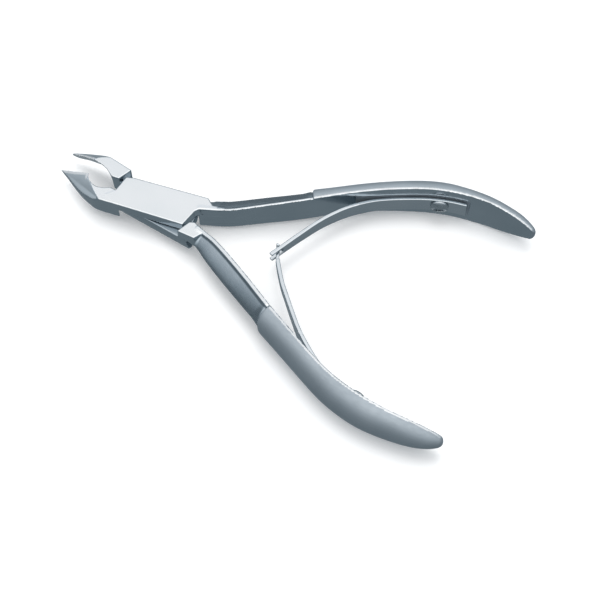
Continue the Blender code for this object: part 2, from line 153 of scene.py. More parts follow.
# The back lap's lower edge slopes down from under the front lap
LEDGE_POINT = (0.0, -5.1, -4.3)
LEDGE_NORMAL = (-0.14, -0.95, 0.28)
# Its end between the handles slopes down too
END_LEDGE_POINT = (8.6, 0.0, -2.5)
END_LEDGE_NORMAL = (0.8, 0.1, 0.6)
HANDLE_BLOCK = [(7.6, 5.8), (9.0, 2.4), (10.2, 1.9), (12.2, 2.9), (13.0, 4.3), (12.0, 6.0)]
EDGE_TIP_Z = -4.2
EDGE_BEVEL = 0.35
BEVEL_LEAN = 6.0
LEAN_RAMP = 2.5
TIP_LEAN = 0.25
TIP_LEAN_SHARE = 0.6
MOST_CROWN = 1.5
FACET_ROUND = 0.06
INNER_ROUND = 0.03
BEVEL_ROUND = 0.02

# Handles: how far the section rises above the mid-plane and drops below it along X, and its thickness
RISE = [
    (11.4, 2.35), (14.0, 2.5), (22.0, 3.25), (34.0, 3.85), (46.0, 4.6), (58.0, 4.6), (68.0, 4.4),
    (74.0, 3.75), (79.0, 2.5), (81.8, 1.2),
]
FRONT_DROP = [
    (11.4, 4.1), (14.0, 4.0), (17.0, 3.65), (22.0, 3.5), (30.0, 3.65), (36.0, 3.4), (42.0, 3.2),
    (48.0, 3.45), (54.0, 4.0), (60.0, 4.3), (68.0, 4.35), (74.0, 3.7), (79.0, 2.4), (81.8, 1.3),
]
DROP = {"front": FRONT_DROP, "back": RISE}
THICKNESS = {
    "front": [
        (11.4, 3.5), (14.0, 4.4), (22.0, 4.6), (32.0, 4.3), (38.0, 4.0), (46.0, 4.2), (58.0, 4.4),
        (64.0, 3.9), (70.0, 3.4), (76.0, 2.9), (79.0, 2.3), (81.8, 1.2),
    ],
    "back": [
        (11.4, 3.3), (14.0, 4.3), (18.0, 5.1), (24.0, 5.2), (30.0, 4.9), (36.0, 4.3), (42.0, 3.8),
        (50.0, 3.6), (58.0, 4.1), (64.0, 4.2), (70.0, 3.7), (75.0, 3.4), (79.0, 2.6), (81.8, 1.3),
    ],
}
EDGE_FLAT = {
    "front": [(11.4, 0.45), (81.8, 0.5)],
    "back": [(11.4, 0.85), (34.0, 0.8), (40.0, 0.5), (81.8, 0.5)],
}
# The neck's outer side drops by a small step beside the edge flat
SHOULDER_DEPTH = {"front": 0.1, "back": 0.32}
SHOULDER_WIDTH = 0.5
SHOULDER_START_X = 12.0
SHOULDER_RAMP = 2.0
# Powers of the section's width and height: 1 and 1 make a diamond, 2 and 2 an ellipse
NECK_POWERS = {"front": (1.15, 2.0), "back": (1.1, 1.4)}
GRIP_POWERS = {"front": (2.1, 2.0), "back": (1.95, 2.0)}
NECK_FADE = 3.0
GRIP_STEP = 0.3
GRIP_EDGE = 0.25
GRIP_GROOVE = 0.28
GRIP_GROOVE_OFFSET = 0.35
GRIP_GROOVE_WIDTH = 0.25
GRIP_FADE = 5.0
GRIP_SLANT = -0.3
MOST_FLAT = 0.3
HANDLE_ROUND = 0.12
TIP_ROUND = 0.9
ROOT_ROUND = 0.1

# Leaf springs
LEAF_WIDTH = 3.9
LEAF_THICKNESS = 0.75
LEAF_TIP_WIDTH = 2.5
LEAF_TIP_THICKNESS = 0.95
LEAF_PROUD = {"front": 0.55, "back": 0.35}
LEAF_END_X = 65.0
LEAF_ROUND = 0.14
SEAT_DEPTH = 0.15
SEAT_WIDTH = 5.0
SEAT_END_X = 65.6
SEAT_ROUND = 0.06
FRONT_ARM = [(43.6, 20.3), (39.7, 16.6), (36.0, 11.5), (32.9, 5.5), (30.4, 0.2), (29.4, -1.9)]
BACK_ARM = [
    (50.1, -22.8), (46.0, -19.6), (42.9, -16.7), (40.2, -13.7), (37.5, -10.6), (34.8, -7.4), (31.4, -2.35),
]
FRONT_FLEX_X = 47.0
BACK_FLEX_X = 53.0
LEAF_TAPER_START = 0.4
FORK_SLOT = 1.5
FORK_LENGTH = 3.5
FORK_END_ROUND = 0.3
FORK_ROUND = 0.08
TONGUE_WIDTH = 0.8
TONGUE_END = (29.6, 1.6)
TONGUE_ROOT = 0.3
TONGUE_ROUND = 0.1
TONGUE_FILLET = 0.25
HOOK_WIDTH = 2.1
HOOK_LENGTH = 0.6
HOOK_ROUND = 0.12
HOOK_FILLET = 0.15
HOOK_HALF_SHARE = 0.4
FLEX_REACH = 6.0

# Screws
PIVOT_BORE = 1.56
PIVOT_SHANK = 1.5
PIVOT_HEAD = 2.6
PIVOT_HEAD_HEIGHT = 0.95
PIVOT_DEPTH = 3.9
PIVOT_GAP = 0.1
PIVOT_SLOT = (0.6, 0.4)
LEAF_SCREW_HEAD = 2.15
LEAF_SCREW_HEIGHT = 1.25
LEAF_SCREW_RIM = 0.45
LEAF_SCREW_SHANK = 0.9
LEAF_SCREW_DEPTH = 2.2
LEAF_SCREW_SLOT = (0.65, 0.6)
LEAF_SCREW_LIFT = 0.12
LEAF_HOLE_GAP = 0.15
LEAF_HOLE_SPARE = 0.3
LEAF_HEAD_ROUND = 0.15
PIVOT_HEAD_ROUND = 0.12
PIVOT_SHANK_ROUND = 0.1
SLOT_ROUND = 0.03


# ---------------------------------------------------------------- fields

def meet(a, b, radius):
    """The overlap of two fields, with the edge between them rounded."""
    u = np.maximum(a + radius, 0)
    v = np.maximum(b + radius, 0)
    return np.hypot(u, v) - radius + np.minimum(np.maximum(a, b) + radius, 0)


def join(a, b, radius):
    """Two fields together, with a fillet between them."""
    return -meet(-a, -b, radius)


def outline_field(points, x, y):
    """Distance to a closed flat outline."""
    x, y = np.broadcast_arrays(x, y)
    nearest = np.full(x.shape, np.inf)
    inside = np.zeros(x.shape, bool)
    for (x0, y0), (x1, y1) in zip(points, points[1:] + points[:1]):
        ex, ey = x1 - x0, y1 - y0
        t = np.clip(((x - x0) * ex + (y - y0) * ey) / (ex * ex + ey * ey), 0, 1)
        nearest = np.minimum(nearest, (x - x0 - ex * t) ** 2 + (y - y0 - ey * t) ** 2)
        if ey:
            inside ^= ((y0 > y) != (y1 > y)) & (x < x0 + ex * (y - y0) / ey)
    return np.where(inside, -1, 1) * np.sqrt(nearest)


def where_field(keep, field, x, y, z):
    """The field where `keep` holds, which depends on x alone, and far outside the metal elsewhere."""
    full = np.full(np.broadcast(x, y, z).shape, FAR)
    rows = np.flatnonzero(keep)
    if len(rows):
        on_grid = x.ndim == 3
        full[rows] = field(x[rows], y if on_grid else y[rows], z if on_grid else z[rows])
    return full


def prism_field(points, low, high, x, y, z, radius):
    return meet(outline_field(points, x, y), np.abs(z - (low + high) / 2) - (high - low) / 2, radius)


def plane_field(point, normal, x, y, z):
    return (x - point[0]) * normal[0] + (y - point[1]) * normal[1] + (z - point[2]) * normal[2]


def smooth_curve(points, steps):
    """Catmull-Rom points through the given ones, `steps` to each stretch."""
    given = [np.array(p, float) for p in points]
    padded = [2 * given[0] - given[1], *given, 2 * given[-1] - given[-2]]
    curve = []
    for p0, p1, p2, p3 in zip(padded, padded[1:], padded[2:], padded[3:]):
        for step in range(steps):
            t = step / steps
            curve.append(0.5 * (2 * p1 + (p2 - p0) * t + (2 * p0 - 5 * p1 + 4 * p2 - p3) * t**2
                                + (3 * p1 - p0 - 3 * p2 + p3) * t**3))
    curve.append(given[-1])
    return np.array(curve)


class Path:
    """A flat curve, run on straight past both its ends."""

    def __init__(self, curve, spare=8.0):
        first = curve[0] - curve[1]
        last = curve[-1] - curve[-2]
        start = curve[0] + first / np.linalg.norm(first) * spare
        end = curve[-1] + last / np.linalg.norm(last) * spare
        self.points = np.vstack([start, curve, end])
        steps = np.linalg.norm(np.diff(self.points, axis=0), axis=1)
        self.along = np.concatenate([[0], np.cumsum(steps)]) - spare
        self.length = self.along[-1] - spare

    def locate(self, x, y):
        """How far each point lies to the left of the path, and how far along it."""
        x, y = np.broadcast_arrays(x, y)
        best = np.full(x.shape, np.inf)
        left = np.zeros(x.shape)
        place = np.zeros(x.shape)
        for i, ((x0, y0), (x1, y1)) in enumerate(zip(self.points, self.points[1:])):
            ex, ey = x1 - x0, y1 - y0
            size = math.hypot(ex, ey)
            t = np.clip(((x - x0) * ex + (y - y0) * ey) / size**2, 0, 1)
            far = np.hypot(x - x0 - ex * t, y - y0 - ey * t)
            closer = far < best
            turn = ex * (y - y0) - ey * (x - x0)
            best = np.where(closer, far, best)
            left = np.where(closer, np.copysign(far, turn), left)
            place = np.where(closer, self.along[i] + t * size, place)
        return left, place

    def at(self, along):
        return np.array([np.interp(along, self.along, self.points[:, k]) for k in (0, 1)])

    def direction(self, along):
        step = self.at(along + 0.2) - self.at(along - 0.2)
        return step / np.linalg.norm(step)

    def along_at_x(self, x):
        return np.interp(x, self.points[:, 0], self.along)


def smooth_table(table):
    """A finer table of the same values, without corners."""
    return smooth_curve(table, 8).T


def smooth_step(value):
    t = np.clip(value, 0, 1)
    return t * t * (3 - 2 * t)


RISE_TABLE = smooth_table(RISE)
for side_name, lever in LEVERS.items():
    lever["path"] = Path(smooth_curve([(x, y * lever["side"]) for x, y in lever["line"]], 8))
    lever["drop_table"] = smooth_table(DROP[side_name])
    lever["thick_table"] = smooth_table(THICKNESS[side_name])
    lever["flat_table"] = np.transpose(EDGE_FLAT[side_name])
    lever["neck_powers"] = NECK_POWERS[side_name]
    lever["grip_powers"] = GRIP_POWERS[side_name]
    lever["shoulder"] = SHOULDER_DEPTH[side_name]
    edge = np.vstack([lever["tip"], smooth_curve([lever["heel"], *lever["throat"]], 6)])
    lever["edge"] = Path(edge)


def handle_field(lever, x, y, z):
    """A D-shaped section along the handle: flat inside, arched outside, a narrow flat along each edge."""
    left, along = lever["path"].locate(x, y)
    depth = left * lever["side"]
    station = np.interp(along, lever["path"].along, lever["path"].points[:, 0])
    upward = z - MID_Z
    from_grip = station - lever["grip_x"] - GRIP_SLANT * upward
    grip = smooth_step(from_grip / GRIP_EDGE + 0.5)
    groove = GRIP_GROOVE * np.exp(-((from_grip + GRIP_GROOVE_OFFSET) / GRIP_GROOVE_WIDTH) ** 2)
    fade = np.clip((lever["line"][-1][0] - station) / GRIP_FADE, 0, 1)
    rise = np.interp(station, *RISE_TABLE)
    reach = np.where(upward > 0, rise, np.interp(station, *lever["drop_table"]))
    reach = reach + (GRIP_STEP / 2 * grip - groove / 2) * fade
    thick = np.interp(station, *lever["thick_table"]) + GRIP_STEP * grip - groove
    flat = np.minimum(np.interp(station, *lever["flat_table"]), MOST_FLAT * thick)
    across = np.maximum(depth - flat, 0) / (thick - flat)
    gripped = smooth_step((station - lever["grip_x"]) / NECK_FADE + 1)
    powers = zip(lever["neck_powers"], lever["grip_powers"])
    wide, high = (neck + (full - neck) * gripped for neck, full in powers)
    section = np.sqrt(across**wide + np.abs(upward / reach) ** high) - 1
    shoulder = lever["shoulder"] * smooth_step((depth - flat) / SHOULDER_WIDTH)
    shoulder = shoulder * (1 - grip) * smooth_step((station - SHOULDER_START_X) / SHOULDER_RAMP)
    body = meet(section * np.minimum(reach, thick) + shoulder, -depth, HANDLE_ROUND)
    seat = meet(np.abs(upward) - SEAT_WIDTH / 2, depth - SEAT_DEPTH, SMALL_ROUND)
    middle = (lever["seat_x"] + SEAT_END_X) / 2
    seat = meet(seat, np.abs(station - middle) - (SEAT_END_X - lever["seat_x"]) / 2, SMALL_ROUND)
    body = meet(body, -seat, SEAT_ROUND)
    body = meet(body, along - lever["path"].length, TIP_ROUND)
    return meet(body, -along - lever["root"], ROOT_ROUND)


def unit(vector):
    return np.array(vector, float) / np.linalg.norm(vector)


def facet_plane(lever):
    """The cutting edge's heel and the outward normal of the facet ground between the edge and its foot."""
    heel = np.array((*lever["heel"], 0.0))
    edge = np.array((*lever["tip"], EDGE_TIP_Z)) - heel
    normal = unit(np.cross(edge, np.array((*lever["facet_foot"], 0.0)) - heel))
    return heel, normal * np.sign(normal[2])


def facet_field(lever, x, y, z):
    """The ground facet, slightly crowned between the heel and the foot, and flat towards the tip."""
    heel, normal = facet_plane(lever)
    to_foot = np.array(lever["facet_foot"]) - lever["heel"]
    to_tip = np.array(lever["tip"]) - lever["heel"]
    area = to_foot[0] * to_tip[1] - to_foot[1] * to_tip[0]
    dx, dy = x - heel[0], y - heel[1]
    foot_share = (dx * to_tip[1] - dy * to_tip[0]) / area
    tip_share = (to_foot[0] * dy - to_foot[1] * dx) / area
    heel_share = 1 - foot_share - tip_share
    crown = 4 * np.maximum(foot_share, 0) * np.maximum(heel_share, 0)
    return plane_field(heel, normal, x, y, z) - lever["crown"] * np.minimum(crown, MOST_CROWN)


def inner_field(lever, x, y, z):
    """The jaw's inner face. It leans back under the cutting edge, and stands upright at the joint."""
    edge = lever["edge"]
    left, along = edge.locate(x, y)
    outside = left * lever["side"]
    size = math.hypot(lever["tip"][0] - lever["heel"][0], lever["tip"][1] - lever["heel"][1])
    top = EDGE_TIP_Z * np.maximum(size - along, 0) / size
    lean = lever["lean"] * (1 - smooth_step((along - size - lever["lean_end"]) / LEAN_RAMP))
    lean = lean * (TIP_LEAN + (1 - TIP_LEAN) * smooth_step(along / size / TIP_LEAN_SHARE))
    return (outside + lean * (top - z)) / np.sqrt(1 + lean**2)


def bevel_field(lever, x, y, z):
    """The narrow second bevel along the cutting edge."""
    ground = facet_field(lever, x, y, z)
    inner = inner_field(lever, x, y, z)
    return (BEVEL_LEAN * ground + inner + EDGE_BEVEL) / math.hypot(BEVEL_LEAN, 1)


def jaw_field(lever, x, y, z):
    throat = [tuple(p) for p in smooth_curve([lever["heel"], *lever["throat"]], 6)]
    back = [tuple(p) for p in smooth_curve(lever["back"], 6)]
    body = prism_field([lever["tip"], *throat, *back], -JOINT_THICKNESS, 0.0, x, y, z, RIM)
    body = meet(body, facet_field(lever, x, y, z), FACET_ROUND)
    body = meet(body, inner_field(lever, x, y, z), INNER_ROUND)
    return meet(body, bevel_field(lever, x, y, z), BEVEL_ROUND)


def lever_field(lever, x, y, z):
    side = lever["side"]
    block = [(px, py * side) for px, py in HANDLE_BLOCK]
    body = prism_field(lever["lap"], *lever["lap_z"], x, y, z, RIM)
    if side < 0:
        body = meet(body, plane_field(LEDGE_POINT, LEDGE_NORMAL, x, y, z), LEDGE_ROUND)
        body = meet(body, plane_field(END_LEDGE_POINT, END_LEDGE_NORMAL, x, y, z), LEDGE_ROUND)
    body = join(body, prism_field(block, *lever["block_z"], x, y, z, RIM), FILLET)
    jaw = where_field(x < JAW_END_X, lambda *point: jaw_field(lever, *point), x, y, z)
    handle = where_field(x > HANDLE_START_X, lambda *point: handle_field(lever, *point), x, y, z)
    body = join(join(body, jaw, JAW_FILLET), handle, FILLET)
    radius = np.hypot(x, y)
    if side > 0:
        bore = meet(radius - PIVOT_SHANK - PIVOT_GAP, z - PIVOT_DEPTH - PIVOT_GAP + JOINT_THICKNESS, SHARP)
    else:
        bore = radius - PIVOT_BORE
        depth = z - PIVOT_HEAD_HEIGHT - PIVOT_GAP + JOINT_THICKNESS
        bore = np.minimum(bore, meet(radius - PIVOT_HEAD - PIVOT_GAP, depth, SHARP))
    body = meet(body, -bore, SMALL_ROUND)
    origin, out = screw_frame(lever)
    along = np.array((-out[1], out[0]))
    lateral = plane_field((*origin, 0), (*along, 0), x, y, z)
    deep = -LEAF_SCREW_DEPTH - LEAF_HOLE_SPARE - plane_field((*origin, 0), (*out, 0), x, y, z)
    hole = meet(np.hypot(lateral, z - MID_Z) - LEAF_SCREW_SHANK - LEAF_HOLE_GAP, deep, SHARP)
    return meet(body, -hole, SMALL_ROUND)


def screw_frame(lever):
    """The leaf screw's place on the inner face, and the direction out of the face."""
    path = lever["path"]
    along = path.along_at_x(lever["screw_x"])
    tangent = path.direction(along)
    out = np.array((tangent[1], -tangent[0])) * lever["side"]
    return path.at(along), out


# ---------------------------------------------------------------- meshing

def surface_net(field, low, high, step):
    """Vertices and quads of the surface where the field is zero, one vertex to each cell that it crosses.

    Where two sheets of the surface cross one cell they share its vertex, so an edge can have over two faces.
    The surface is left open where it meets the limits.
    """
    low = np.array(low, float)
    grid = [np.arange(a, b + step, step) for a, b in zip(low, high)]
    values = field(grid[0][:, None, None], grid[1][None, :, None], grid[2][None, None, :])
    cells = np.array(values.shape) - 1
    total = np.zeros((*cells, 3), np.float32)
    count = np.zeros(cells, np.float32)
    crossings = []
    for axis in range(3):
        others = [k for k in range(3) if k != axis]
        near = values.take(range(cells[axis]), axis)
        far = values.take(range(1, cells[axis] + 1), axis)
        cross = (near < 0) != (far < 0)
        share = np.where(cross, near / np.where(cross, near - far, 1), 0)
        crossings.append((cross, near < 0))
        for i in (0, 1):
            for j in (0, 1):
                cut = [slice(None)] * 3
                cut[others[0]] = slice(i, i + cells[others[0]])
                cut[others[1]] = slice(j, j + cells[others[1]])
                hit = cross[tuple(cut)]
                count += hit
                total[..., axis] += share[tuple(cut)]
                total[..., others[0]] += i * hit
                total[..., others[1]] += j * hit
    used = np.argwhere(count > 0)
    number = np.full(cells, -1)
    number[tuple(used.T)] = np.arange(len(used))
    points = low + (used + total[tuple(used.T)] / count[tuple(used.T)][:, None]) * step
    quads = []
    for axis, (cross, outward) in enumerate(crossings):
        others = [(axis + 1) % 3, (axis + 2) % 3]
        edges = np.argwhere(cross)
        edges = edges[(edges[:, others[0]] > 0) & (edges[:, others[1]] > 0)]
        edges = edges[(edges[:, others[0]] < cells[others[0]]) & (edges[:, others[1]] < cells[others[1]])]
        corners = []
        for i, j in ((1, 1), (0, 1), (0, 0), (1, 0)):
            cell = edges.copy()
            cell[:, others[0]] -= i
            cell[:, others[1]] -= j
            corners.append(number[tuple(cell.T)])
        faces = np.stack(corners, 1)
        out = outward[tuple(edges.T)]
        faces[~out] = faces[~out][:, ::-1]
        quads.append(faces)
    return points, np.concatenate(quads)


def gradient(field, points, reach=0.01):
    here = field(*points.T)
    slopes = []
    for axis in range(3):
        beyond = points.copy()
        beyond[:, axis] += reach
        slopes.append((field(*beyond.T) - here) / reach)
    return here, np.stack(slopes, 1)


def settle(field, points, step, rounds=2):
    """Moves the vertices onto the surface itself, by at most half a cell."""
    start = points.copy()
    for _ in range(rounds):
        value, slope = gradient(field, points)
        size = np.maximum((slope**2).sum(1), 0.05)
        points = points - slope * (value / size)[:, None]
        moved = points - start
        length = np.linalg.norm(moved, axis=1, keepdims=True)
        points = start + moved * np.minimum(1, step / 2 / np.maximum(length, 1e-9))
    return points


def make_piece(name, field, low, high, step, materials, zone_of=None):
    """A smooth shaded mesh object of the field, with each face in the material of its zone."""
    points, quads = surface_net(field, low, high, step)
    points = settle(field, points, step)
    mesh = bpy.data.meshes.new(name)
    mesh.from_pydata((points * MM).tolist(), [], quads.tolist())
    for material in materials:
        mesh.materials.append(material)
    if zone_of:
        centres = points[quads].mean(1)
        slope = gradient(field, centres)[1]
        normals = slope / np.linalg.norm(slope, axis=1, keepdims=True)
        mesh.polygons.foreach_set("material_index", zone_of(centres, normals).astype(np.int32))
    mesh.shade_smooth()
    mesh.set_sharp_from_angle(angle=math.radians(SHARP_ANGLE))
    mesh.update()
    piece = bpy.data.objects.new(name, mesh)
    bpy.context.scene.collection.objects.link(piece)
    return piece


# ---------------------------------------------------------------- materials

def node(tree, kind, **values):
    made = tree.nodes.new(kind)
    for key, value in values.items():
        setattr(made, key, value)
    return made


def noise(tree, coordinates, scale, detail=4.0, stretch=(1, 1, 1)):
    """A noise texture's value, over the piece's own coordinates in metres."""
    mapping = node(tree, "ShaderNodeMapping")
    mapping.inputs["Scale"].default_value = stretch
    texture = node(tree, "ShaderNodeTexNoise")
    texture.inputs["Scale"].default_value = scale
    texture.inputs["Detail"].default_value = detail
    tree.links.new(coordinates, mapping.inputs["Vector"])
    tree.links.new(mapping.outputs["Vector"], texture.inputs["Vector"])
    return texture.outputs["Fac"]


def ramp(tree, value, low, high, first, last):
    """The value's stretch from low to high, turned into a number from first to last."""
    made = node(tree, "ShaderNodeMapRange")
    made.inputs["From Min"].default_value = low
    made.inputs["From Max"].default_value = high
    made.inputs["To Min"].default_value = first
    made.inputs["To Max"].default_value = last
    tree.links.new(value, made.inputs["Value"])
    return made.outputs["Result"]


def steel(name, color, worn_color, roughness, grain, grain_stretch, bump, pits=0.0):
    """Brushed or polished steel: clouded colour, uneven roughness, a fine grain and small pits."""
    material = bpy.data.materials.new(name)
    material.use_nodes = True
    tree = material.node_tree
    shader = tree.nodes["Principled BSDF"]
    shader.inputs["Metallic"].default_value = 1.0
    place = node(tree, "ShaderNodeTexCoord").outputs["Object"]
    clouds = noise(tree, place, 90, 5)
    streaks = noise(tree, place, grain, 3, grain_stretch)
    mix = node(tree, "ShaderNodeMix", data_type="RGBA")
    mix.inputs["A"].default_value = color
    mix.inputs["B"].default_value = worn_color
    tree.links.new(ramp(tree, clouds, 0.35, 0.7, 0.0, 1.0), mix.inputs["Factor"])
    tree.links.new(mix.outputs["Result"], shader.inputs["Base Color"])
    tree.links.new(ramp(tree, streaks, 0.3, 0.7, roughness[0], roughness[1]), shader.inputs["Roughness"])
    height = streaks
    if pits:
        spots = noise(tree, place, 1400, 2)
        sunk = ramp(tree, spots, 0.66, 0.78, 0.0, -pits)
        total = node(tree, "ShaderNodeMath", operation="ADD")
        tree.links.new(streaks, total.inputs[0])
        tree.links.new(sunk, total.inputs[1])
        height = total.outputs["Value"]
    relief = node(tree, "ShaderNodeBump")
    relief.inputs["Strength"].default_value = bump
    relief.inputs["Distance"].default_value = 0.00005
    tree.links.new(height, relief.inputs["Height"])
    tree.links.new(relief.outputs["Normal"], shader.inputs["Normal"])
    return material


# Colour, worn colour, roughness, grain and its stretch, relief and, where there are any, pits
POLISHED = steel("polished_joint_steel", (0.74, 0.76, 0.78, 1), (0.70, 0.73, 0.75, 1), (0.10, 0.18),
                 900, (0.25, 2.5, 1), 0.05)
GROUND = steel("ground_jaw_steel", (0.76, 0.81, 0.85, 1), (0.68, 0.74, 0.78, 1), (0.38, 0.50),
               2200, (3, 0.4, 1), 0.25)
SATIN = steel("satin_grip_steel", (0.52, 0.57, 0.61, 1), (0.46, 0.51, 0.55, 1), (0.58, 0.68),
              1300, (0.5, 1, 2.5), 0.2, 3.0)
NECK = steel("neck_steel", (0.56, 0.615, 0.655, 1), (0.50, 0.56, 0.60, 1), (0.13, 0.22),
             1300, (0.5, 1, 2.5), 0.12, 1.0)
# Outer sides of the necks and the ledge under the front lap: the neck steel darkened as painted shade, and
# rougher too
SHADED_NECK = steel("dull_painted_shade_neck_steel", (0.42, 0.47, 0.51, 1), (0.35, 0.40, 0.44, 1), (0.22, 0.32),
                  1300, (0.5, 1, 2.5), 0.2, 2.0)
# Bevel along the cutting edge: a rougher finish, with its colour lifted well above the other steels as a
# painted highlight
HONED_HIGHLIGHT = steel("honed_edge_painted_highlight_steel", (0.94, 0.95, 0.96, 1), (0.88, 0.90, 0.92, 1), (0.6, 0.7),
              3000, (3, 0.4, 1), 0.1)
SPRING = steel("spring_leaf_steel", (0.66, 0.70, 0.73, 1), (0.60, 0.645, 0.68, 1), (0.16, 0.26),
               1600, (1, 1, 4), 0.10)
SCREW = steel("turned_screw_steel", (0.56, 0.60, 0.63, 1), (0.48, 0.52, 0.55, 1), (0.20, 0.34),
              2500, (1, 1, 1), 0.15)


# ---------------------------------------------------------------- pieces

LEVER_MATERIALS = [POLISHED, GROUND, NECK, SATIN, HONED_HIGHLIGHT, SHADED_NECK]
FACET_TOUCH = 0.05
HONED_HIGHLIGHT_TOUCH = 0.04
INNER_FACE_DEPTH = 0.06
TOP_FACE_DEPTH = 0.15
TOP_END_X = 15
FACET_END_X = -14
NECK_START_X = 13
EDGE_FLAT_START_X = 12
LAP_END_X = 11


def make_lever(key):
    lever = LEVERS[key]
    node_name = key + "_lever"
    low, high = (np.array(corner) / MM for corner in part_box(node_name))

    def field(x, y, z):
        return lever_field(lever, x, y, z)

    def zone_of(centres, normals):
        """The polished top and edge flats, the ground facet, the necks with their outer sides and the ledge
        in painted shade, the grips, and the bevel along the edge, ground rougher and given a painted
        highlight.
        """
        in_polished, in_ground, in_neck, in_satin, in_honed_highlight, in_painted_shade_neck = range(len(LEVER_MATERIALS))
        x, y, z = centres.T
        left, along = lever["path"].locate(x, y)
        station = np.interp(along, lever["path"].along, lever["path"].points[:, 0])
        on_grip = station > lever["grip_x"] + GRIP_SLANT * (z - MID_Z)
        depth = left * lever["side"]
        zones = np.where(on_grip & (depth > INNER_FACE_DEPTH), in_satin, in_neck)
        upright = normals[:, 2]
        zones[(upright > 0.6) & (np.abs(z) < TOP_FACE_DEPTH) & (x < TOP_END_X)] = in_polished
        on_flat = depth < np.interp(station, *lever["flat_table"]) + FACET_TOUCH
        # The neck's outer side beyond the edge flat takes the darker steel: painted shade
        zones[~on_grip & ~on_flat & (x > NECK_START_X)] = in_painted_shade_neck
        # Upward faces below the mid-plane by the joint, the ledge under the front lap, take the darker steel
        # too: painted shade
        zones[(upright > 0.5) & (z < MID_Z) & (np.abs(x) < LAP_END_X)] = in_painted_shade_neck
        zones[on_flat & (upright > 0.85) & (z > MID_Z) & (x > EDGE_FLAT_START_X)] = in_polished
        on_facet = np.abs(facet_field(lever, x, y, z)) < FACET_TOUCH
        zones[on_facet & (x < FACET_END_X) & (upright < 0.99)] = in_ground
        # The edge bevel, and on the back lever the inner face along the edge, take the brighter steel: a
        # painted highlight
        honed_highlight = np.abs(bevel_field(lever, x, y, z)) < HONED_HIGHLIGHT_TOUCH
        if lever["side"] < 0:
            honed_highlight |= np.abs(inner_field(lever, x, y, z)) < HONED_HIGHLIGHT_TOUCH
        zones[honed_highlight & (x < lever["heel"][0])] = in_honed_highlight
        return zones

    piece = make_piece(node_name + "_body", field, low - LEVER_MARGIN, high + LEVER_MARGIN, LEVER_STEP,
                       LEVER_MATERIALS, zone_of)
    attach(piece, node_name)
    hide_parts(node_name)


def leaf_path(key, flex_x, arm, tail):
    """The leaf's centre line, from its clamped end on the handle to its tip, and then along its tail."""
    route = [flex_point(key, x) for x in np.linspace(LEAF_END_X, flex_x, 5)]
    path = Path(smooth_curve([*route, *arm, *tail], 10))
    path.length = float(path.locate(*(np.array(v) for v in arm[-1]))[1])
    return path


def leaf_base(path, x, y, z):
    """The plain strip, without its screw hole, and the distance along it."""
    left, along = path.locate(x, y)
    share = np.clip(along / path.length, 0, 1)
    thick = LEAF_THICKNESS + (LEAF_TIP_THICKNESS - LEAF_THICKNESS) * share
    taper = smooth_step((share - LEAF_TAPER_START) / (1 - LEAF_TAPER_START))
    width = LEAF_WIDTH + (LEAF_TIP_WIDTH - LEAF_WIDTH) * taper
    strip = meet(np.abs(left) - thick / 2, np.abs(z - MID_Z) - width / 2, LEAF_ROUND)
    return left, along, meet(strip, -along, LEAF_ROUND)


def fork_field(path, x, y, z):
    """The front leaf, with a slot open at its tip."""
    _, along, strip = leaf_base(path, x, y, z)
    strip = meet(strip, along - path.length, LEAF_ROUND)
    slot = meet(np.abs(z - MID_Z) - FORK_SLOT / 2, path.length - FORK_LENGTH - along, FORK_END_ROUND)
    return meet(strip, -slot, FORK_ROUND)


def hook_field(path, x, y, z):
    """The back leaf, with a narrow bent tongue and a cross head on its end."""
    left, along, strip = leaf_base(path, x, y, z)
    strip = meet(strip, along - path.length, LEAF_ROUND)
    tongue_end = math.dist(BACK_ARM[-1], TONGUE_END) + path.length
    half_thick = HOOK_HALF_SHARE * LEAF_TIP_THICKNESS
    tongue = meet(np.abs(left) - half_thick, np.abs(z - MID_Z) - TONGUE_WIDTH / 2, TONGUE_ROUND)
    tongue_span = np.maximum(path.length - TONGUE_ROOT - along, along - tongue_end)
    tongue = meet(tongue, tongue_span, TONGUE_ROUND)
    head = meet(np.abs(left) - half_thick, np.abs(z - MID_Z) - HOOK_WIDTH / 2, HOOK_ROUND)
    head_span = np.abs(along - tongue_end + HOOK_LENGTH / 2) - HOOK_LENGTH / 2
    head = meet(head, head_span, HOOK_ROUND)
    return join(join(strip, tongue, TONGUE_FILLET), head, HOOK_FILLET)


def make_leaf(key, flex_x, arm, tail, shape):
    path = leaf_path(key, flex_x, arm, tail)
    names = [key + "_leaf_foot", key + "_leaf_arm"]
    boxes = [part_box(name) for name in names]
    low = np.minimum(*(np.array(low) for low, _ in boxes)) / MM
    high = np.maximum(*(np.array(high) for _, high in boxes)) / MM

    def field(x, y, z):
        return shape(path, x, y, z)

    piece = make_piece(key + "_leaf_spring", field, low - LEAF_MARGIN, high + LEAF_MARGIN,
                       LEAF_STEP, [SPRING])
    flex = path.locate(*(np.array(v) for v in flex_point(key, flex_x)))[1]
    start, end = path.at(float(flex) - FLEX_REACH / 2), path.at(float(flex) + FLEX_REACH)
    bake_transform(piece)
    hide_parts(*names)


def flex_point(key, x):
    """The leaf's centre line where it lies along the handle."""
    path, side = LEVERS[key]["path"], LEVERS[key]["side"]
    along = path.along_at_x(x)
    tangent = path.direction(along)
    return path.at(along) + np.array((tangent[1], -tangent[0])) * side * LEAF_PROUD[key]


